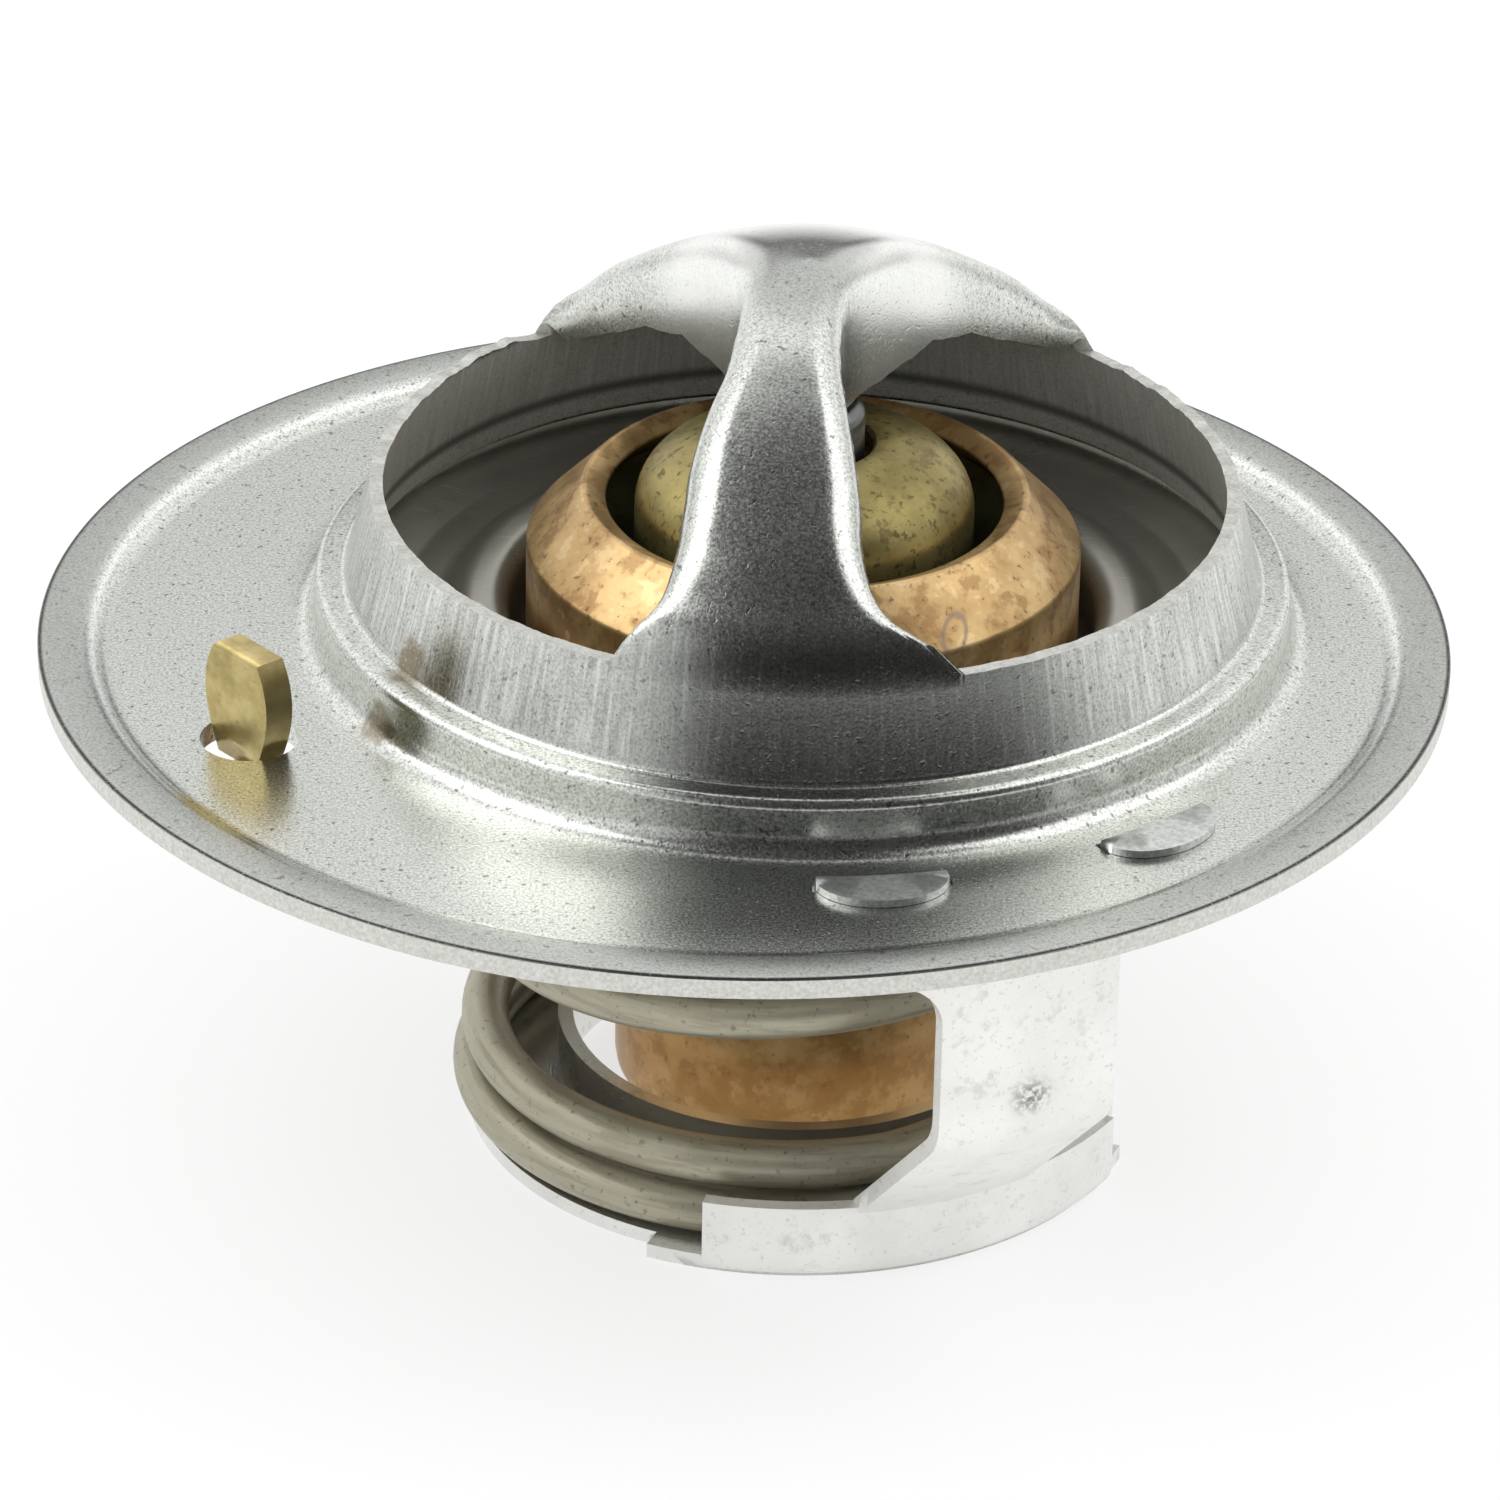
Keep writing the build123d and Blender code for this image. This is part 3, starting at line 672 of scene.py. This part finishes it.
piston_foot, piston_shoulder, piston_tip = -18.0, 10.95, 17.4
piston_radius, tip_radius = 2.65, 0.95
piston = turned("piston_pin", rounded(
    [(0, piston_foot, 0), (piston_radius, piston_foot, 0.5),
     (piston_radius, piston_shoulder, 0.5), (tip_radius, piston_shoulder, 0),
     (tip_radius, piston_tip, 0.3), (0, piston_tip, 0)], segments=4), segments=96)
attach(piston, "housing")
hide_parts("piston")


def ground_steel(place):
    """Dark steel with fine grinding rings."""
    rings = place.noise(300, 3, 0.6, (1, 1, 12))
    base = rings.mix(rgb(0.10, 0.10, 0.10), rgb(0.24, 0.24, 0.235))
    return {"Base Color": base, "Metallic": 1.0, "Roughness": rings * 0.2 + 0.25}


finish(piston, "ground_steel", ground_steel)

# Boot and wax fill the cup out of sight: black rubber sleeve, clamped under the guide, and amber
# wax that swells as it melts and squeezes the piston out.


def rubber(place):
    """Dull black rubber."""
    cloud = place.noise(900, 3, 0.6)
    return {"Base Color": cloud.mix(rgb(0.02, 0.02, 0.02), rgb(0.05, 0.05, 0.048)),
            "Roughness": cloud * 0.2 + 0.5}


def wax_look(place):
    """Cloudy amber wax."""
    cloud = place.noise(500, 4, 0.6)
    return {"Base Color": cloud.mix(rgb(0.62, 0.42, 0.18), rgb(0.74, 0.56, 0.30)),
            "Roughness": cloud * 0.2 + 0.4}


finish(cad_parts["boot"], "boot_rubber", rubber)
finish(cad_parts["wax"], "amber_wax", wax_look)

# Spring: 2.2 mm plated wire wound to a taper, its two end coils closed. The lower end sits in the
# frame and the upper end under the disc's well, so it shortens as the valve opens.


wire, turns, frame_floor, seat_gap = 2.2, 4.6, -24.4, 0.02
foot_radius, top_radius, foot_lean, start_angle = 14.3, 13.15, 0.7, 100


def eased(value, start, end):
    """0 before start, 1 after end, smooth between."""
    share = min(max((value - start) / (end - start), 0), 1)
    return share * share * (3 - 2 * share)


def coil_line(places=461):
    """Middle of the wire, foot first: its climb eases in and out of the closed end coils."""
    low = frame_floor + seat_gap + wire / 2
    top = well_floor - disc_sheet - wire / 2
    closed, foot_climb, foot_turns, top_turns = wire * 1.04, 0.3, 1.78, 1.05
    foot_lift, top_lift = (0.72, 1.02), (turns - 1.15, turns - 0.8)
    active = top - low - 2 * closed - foot_climb
    line = []
    for i in range(places):
        turn = i * turns / (places - 1)
        climb = min(max((turn - foot_turns) / (turns - top_turns - foot_turns), 0), 1)
        height = (closed * eased(turn, *foot_lift) + foot_climb * min(turn / foot_turns, 1)
                  + active * climb + closed * eased(turn, *top_lift))
        radius = foot_radius + (top_radius - foot_radius) * turn / turns
        angle = radians(start_angle + 360 * turn)
        lean = foot_lean * (1 - turn / turns)
        line.append((radius * sin(angle) - lean, -radius * cos(angle), low + height))
    return np.array(line)


def wound_wire(name, line, wire_radius, sides):
    """Round wire along a line of points in millimetres, its ends cut square."""
    path = bpy.data.meshes.new(name)
    places = (np.asarray(line) + (axis_x, axis_y, flange_z)) * MM
    path.from_pydata(places.tolist(), [(k, k + 1) for k in range(len(line) - 1)], [])
    piece = new_object(name, path)
    tree = bpy.data.node_groups.new(name, "GeometryNodeTree")
    sockets = {}
    for title, kind in (("Line", "Geometry"), ("Wire Radius", "Float"), ("Sides", "Int")):
        sockets[title] = tree.interface.new_socket(title, in_out="INPUT",
                                                   socket_type="NodeSocket" + kind)
    tree.interface.new_socket("Wire", in_out="OUTPUT", socket_type="NodeSocketGeometry")
    given, curve, circle, swept, real, coat, result = [
        tree.nodes.new(kind) for kind in (
            "NodeGroupInput", "GeometryNodeMeshToCurve", "GeometryNodeCurvePrimitiveCircle",
            "GeometryNodeCurveToMesh", "GeometryNodeRealizeInstances", "GeometryNodeSetMaterial",
            "NodeGroupOutput")]
    swept.inputs["Fill Caps"].default_value = True
    for out, into in ((given.outputs["Line"], curve.inputs["Mesh"]),
                      (given.outputs["Wire Radius"], circle.inputs["Radius"]),
                      (given.outputs["Sides"], circle.inputs["Resolution"]),
                      (curve.outputs["Curve"], swept.inputs["Curve"]),
                      (circle.outputs["Curve"], swept.inputs["Profile Curve"]),
                      (swept.outputs["Mesh"], real.inputs["Geometry"]),
                      (real.outputs["Geometry"], coat.inputs["Geometry"]),
                      (coat.outputs["Geometry"], result.inputs["Wire"])):
        tree.links.new(out, into)
    coat.inputs["Material"].default_value = bpy.data.materials.new(name)
    winding = piece.modifiers.new("winding", "NODES")
    winding.node_group = tree
    winding[sockets["Wire Radius"].identifier] = wire_radius * MM
    winding[sockets["Sides"].identifier] = sides
    applied(piece)
    weld(piece.data)
    shade(piece.data, sharp=40)
    return piece


coil = wound_wire("coil", coil_line(), wire / 2, sides=32)
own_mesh(coil)
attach(coil, "housing")
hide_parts("spring")


def plated_wire(place):
    """Matt nickel-grey plating with streaks along the wire."""
    z, radius, angle = polar(place)[2:]
    cloud = place.noise(300, 4, 0.6)
    fine = place.noise(2600, 3, 0.6)
    drawn = angle.node("CombineXYZ", {}, {0: angle * 0.0012, 1: radius, 2: z})
    streak = drawn.noise(2200, 3, 0.6)
    base = cloud.mix(rgb(0.35, 0.325, 0.24), rgb(0.50, 0.475, 0.37))
    base = (fine.step(0.60, 0.70) * 0.6).mix(base, rgb(0.14, 0.125, 0.09))
    base = (streak.step(0.5, 0.62) * 0.35).mix(base, rgb(0.19, 0.17, 0.12))
    base = (streak.step(0.42, 0.32) * 0.2).mix(base, rgb(0.62, 0.60, 0.50))
    return {"Base Color": base, "Metallic": 0.6, "Roughness": cloud * 0.18 + 0.3,
            "Normal": (fine + streak).bumps(0.22, 0.00005)}


finish(coil, "plated_wire", plated_wire)

# Lower frame: 0.7 mm tin-plated steel ring with a drawn collar, two lipped legs and four tabs
# that are pushed through the flange's slots and bent over. Almost white where it catches light.


def from_cad(name, node, body):
    """A merged, smooth-shaded copy of a CAD solid, shown in its place."""
    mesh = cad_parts[node].data.copy()
    weld(mesh, turn_out=False)
    shade(mesh, sharp=30)
    piece = new_object(name, mesh)
    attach(piece, body)
    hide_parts(node)
    return piece


cage = from_cad("spring_frame", "lower_frame", "housing")


def tinned_steel(place):
    """Pale tin plate with a scuff on the front leg; darker on the tabs above the flange."""
    x, y, z, radius = polar(place)[:4]
    cloud = place.noise(150, 4, 0.55)
    fine = place.noise(4200, 3, 0.6)
    base = cloud.step(0.3, 0.7).mix(rgb(0.76, 0.76, 0.73), rgb(0.88, 0.88, 0.85))
    base = (fine.step(0.60, 0.70) * 0.4).mix(base, rgb(0.42, 0.42, 0.39))
    worn = place.noise(900, 4, 0.7)
    base = (worn.step(0.56, 0.70) * 0.5).mix(base, rgb(0.52, 0.52, 0.49))
    far = distance(x - 10.4 * MM, z + 11.4 * MM)
    scuff = far.step(1.3 * MM, 0.0) * y.step(0, -5 * MM) * place.noise(3200, 3, 0.7).step(0.4, 0.6)
    base = (scuff * 0.9).mix(base, rgb(0.10, 0.10, 0.09))
    above = z.step(-0.6 * MM, 0.0)
    tab = fine.step(0.2, 0.8).mix(rgb(0.45, 0.47, 0.46), rgb(0.88, 0.90, 0.88))
    base = (above * 0.9).mix(base, tab)
    ring = radius.step(15.9 * MM, 15.3 * MM)
    return {"Base Color": base, "Metallic": (above + ring) * 0.6 + 0.35,
            "Roughness": cloud * 0.12 + 0.28 - ring * 0.08,
            "Normal": fine.bumps(0.12, 0.00004)}


finish(cage, "tinned_steel", tinned_steel)

# Jiggle pin: stamped brass, its head pressed flat into a blade above the flange. It hangs loose
# in its hole, so that trapped air can pass the flange.

pin = from_cad("jiggle", "jiggle_pin", "jiggle")


def pin_brass(place):
    """Bright stamped brass, with painted shade on the faces that turn towards +X."""
    cloud = place.noise(500, 4, 0.62)
    fine = place.noise(3200, 3, 0.6)
    sideways = place.node("TexCoord", output="Normal").split()[0]
    base = cloud.step(0.35, 0.65).mix(rgb(0.40, 0.31, 0.12), rgb(0.60, 0.485, 0.22))
    # Painted shade: faces turned towards +X are painted dark, standing in for the darker
    # reflections they catch.
    base = (sideways.step(0.45, 0.75) * 0.8).mix(base, rgb(0.13, 0.105, 0.04))
    base = (fine.step(0.62, 0.72) * 0.6).mix(base, rgb(0.30, 0.22, 0.08))
    return {"Base Color": base, "Metallic": 0.8, "Roughness": cloud * 0.15 + 0.22,
            "Normal": (fine + cloud).bumps(0.2, 0.00005)}


finish(pin, "pin_brass", pin_brass)

# Floor, light and camera: a pale floor that runs out of sight, two large soft lamps high at the
# sides, and a long lens. The room is dark in front and low behind, and dimmer low at the sides,
# but only in reflections.

floor = bpy.data.meshes.new("floor")
half, floor_glow = 3.0, 0.72
floor.from_pydata([(-half, -half, 0), (half, -half, 0), (half, half, 0), (-half, half, 0)], [],
                  [(0, 1, 2, 3)])
ground = new_object("floor", floor)
paint = bpy.data.materials.new("floor")
paint.use_nodes = True
floor.materials.append(paint)


def start_tree(tree, kind):
    """Empty a shader tree and return its start, camera rays, glossy rays and output socket."""
    tree.nodes.clear()
    start = Wire(tree, None)
    rays = [start.node("LightPath", output=f"Is {ray} Ray") for ray in ("Camera", "Glossy")]
    return start, *rays, tree.nodes.new(kind).inputs["Surface"]


start, camera_ray, glossy_ray, surface = start_tree(paint.node_tree, "ShaderNodeOutputMaterial")
white = start.node("Emission", {}, {"Color": rgb(1, 1, 1), "Strength": 1.0})
matt = start.node("BsdfDiffuse", {}, {"Color": rgb(0.90, 0.90, 0.90)})
both = start.node("MixShader", {}, {0: floor_glow, 1: matt, 2: white})
seen = camera_ray.maths("MAXIMUM", glossy_ray)
pick = start.node("MixShader", {}, {0: seen, 1: matt, 2: both})
paint.node_tree.links.new(pick.socket, surface)

room = bpy.data.worlds.new("studio")
bpy.context.scene.world = room
room.use_nodes = True
room_level = 1.1
start, camera_ray, glossy_ray, surface = start_tree(room.node_tree, "ShaderNodeOutputWorld")
way_x, way_y, way_z = start.node("TexCoord", output="Generated").split()
sideways = way_x.maths("ABSOLUTE")
front = way_y.step(0.36, 0.14) * (way_x - 0.2).maths("ABSOLUTE").step(0.85, 0.50)
back = sideways.step(0.42, 0.15) * way_z.near(0.24, 0.30) * way_y.step(0.3, 0.6)
low = way_z.step(0.40, 0.05) * sideways.step(0.4, 0.8)
mirrored = (1 - front * 0.98) * (1 - back * 0.95) * (1 - low * 0.4)
level = (1 - glossy_ray * (1 - mirrored)) * room_level * (1 - camera_ray) + camera_ray
sky = start.node("Background", {}, {"Color": rgb(1, 1, 1), "Strength": level})
room.node_tree.links.new(sky.socket, surface)

lamp_size, lamp_aim = 0.45, Vector((0, 0, 0.02))
for name, place, power in (("left", (-0.42, 0.0, 0.55), 1.1), ("right", (0.42, 0.0, 0.55), 1.0)):
    lamp = bpy.data.lights.new(name, "AREA")
    lamp.size, lamp.energy = lamp_size, power
    holder = new_object(name, lamp)
    holder.location = place
    holder.rotation_euler = (lamp_aim - Vector(place)).to_track_quat("-Z", "Y").to_euler()

lens = bpy.data.cameras.new("camera")
lens.lens, lens.sensor_width, lens.clip_start = 187.5, 36.0, 0.01
camera_place, tilt, roll = (0.00036, -0.3147, 0.1895), radians(28.413), radians(1.177)
right, upward = Vector((1, 0, 0)), Vector((0, sin(tilt), cos(tilt)))
across = right * cos(roll) + upward * sin(roll)
above = upward * cos(roll) - right * sin(roll)
turn = Matrix((across, above, across.cross(above))).transposed()
eye = new_object("camera", lens)
eye.matrix_world = Matrix.Translation(camera_place) @ turn.to_4x4()
bpy.context.scene.camera = eye
bpy.context.scene.view_settings.view_transform = "Standard"
